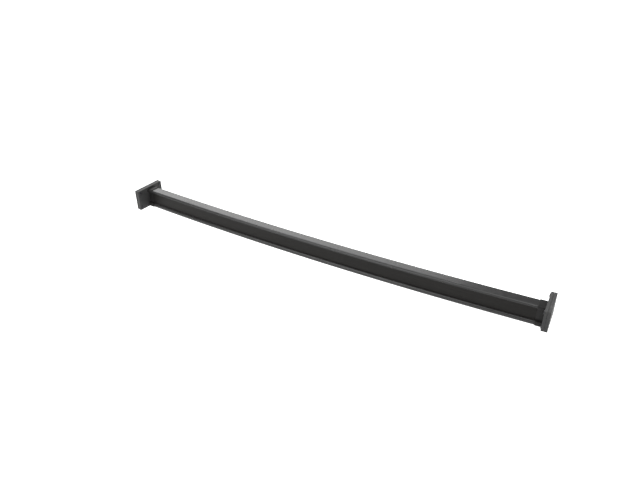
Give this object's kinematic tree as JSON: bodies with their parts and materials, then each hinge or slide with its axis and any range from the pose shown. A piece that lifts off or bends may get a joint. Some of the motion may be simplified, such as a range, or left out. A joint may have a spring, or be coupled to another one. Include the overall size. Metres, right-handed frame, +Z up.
{
  "type": "pool handrail",
  "caption": "Gently bowed channel-section handrail with an infill strip, held between upright screwed end brackets.",
  "frame": {"origin": "middle of the part's footprint, on the surface it stands on", "axes": "+X along the rail's chord towards the right-hand bracket, -Y the side the rail bows towards, +Z up"},
  "size_m": [1.1832, 0.1038, 0.0595],
  "materials": {
    "powder_coat": "charcoal powder coat on an aluminium extrusion, semi-gloss with a fine orange peel",
    "plate_coat": "charcoal powder coat on cast aluminium plate",
    "strip": "fine-grained extruded resin strip, charcoal with a slight brown cast",
    "trim": "moulded charcoal nylon, fine texture",
    "insert": "plain zinc-plated casting, hidden inside the rail",
    "screw": "black-coated stainless steel"
  },
  "bodies": {
    "root": {"rail_channel": "powder_coat", "infill_strip": "strip", "left_post_plate": "plate_coat", "left_flange": "plate_coat", "left_collar": "trim", "left_insert_block": "insert", "left_flange_screw_1": "screw", "left_flange_screw_2": "screw", "left_flange_screw_3": "screw", "left_flange_screw_4": "screw", "left_insert_screw_1": "screw", "left_insert_screw_2": "screw", "left_rail_screw_1": "screw", "left_rail_screw_2": "screw", "right_post_plate": "plate_coat", "right_flange": "plate_coat", "right_collar": "trim", "right_insert_block": "insert", "right_flange_screw_1": "screw", "right_flange_screw_2": "screw", "right_flange_screw_3": "screw", "right_flange_screw_4": "screw", "right_insert_screw_1": "screw", "right_insert_screw_2": "screw", "right_rail_screw_1": "screw", "right_rail_screw_2": "screw"}
  },
  "joints": []
}
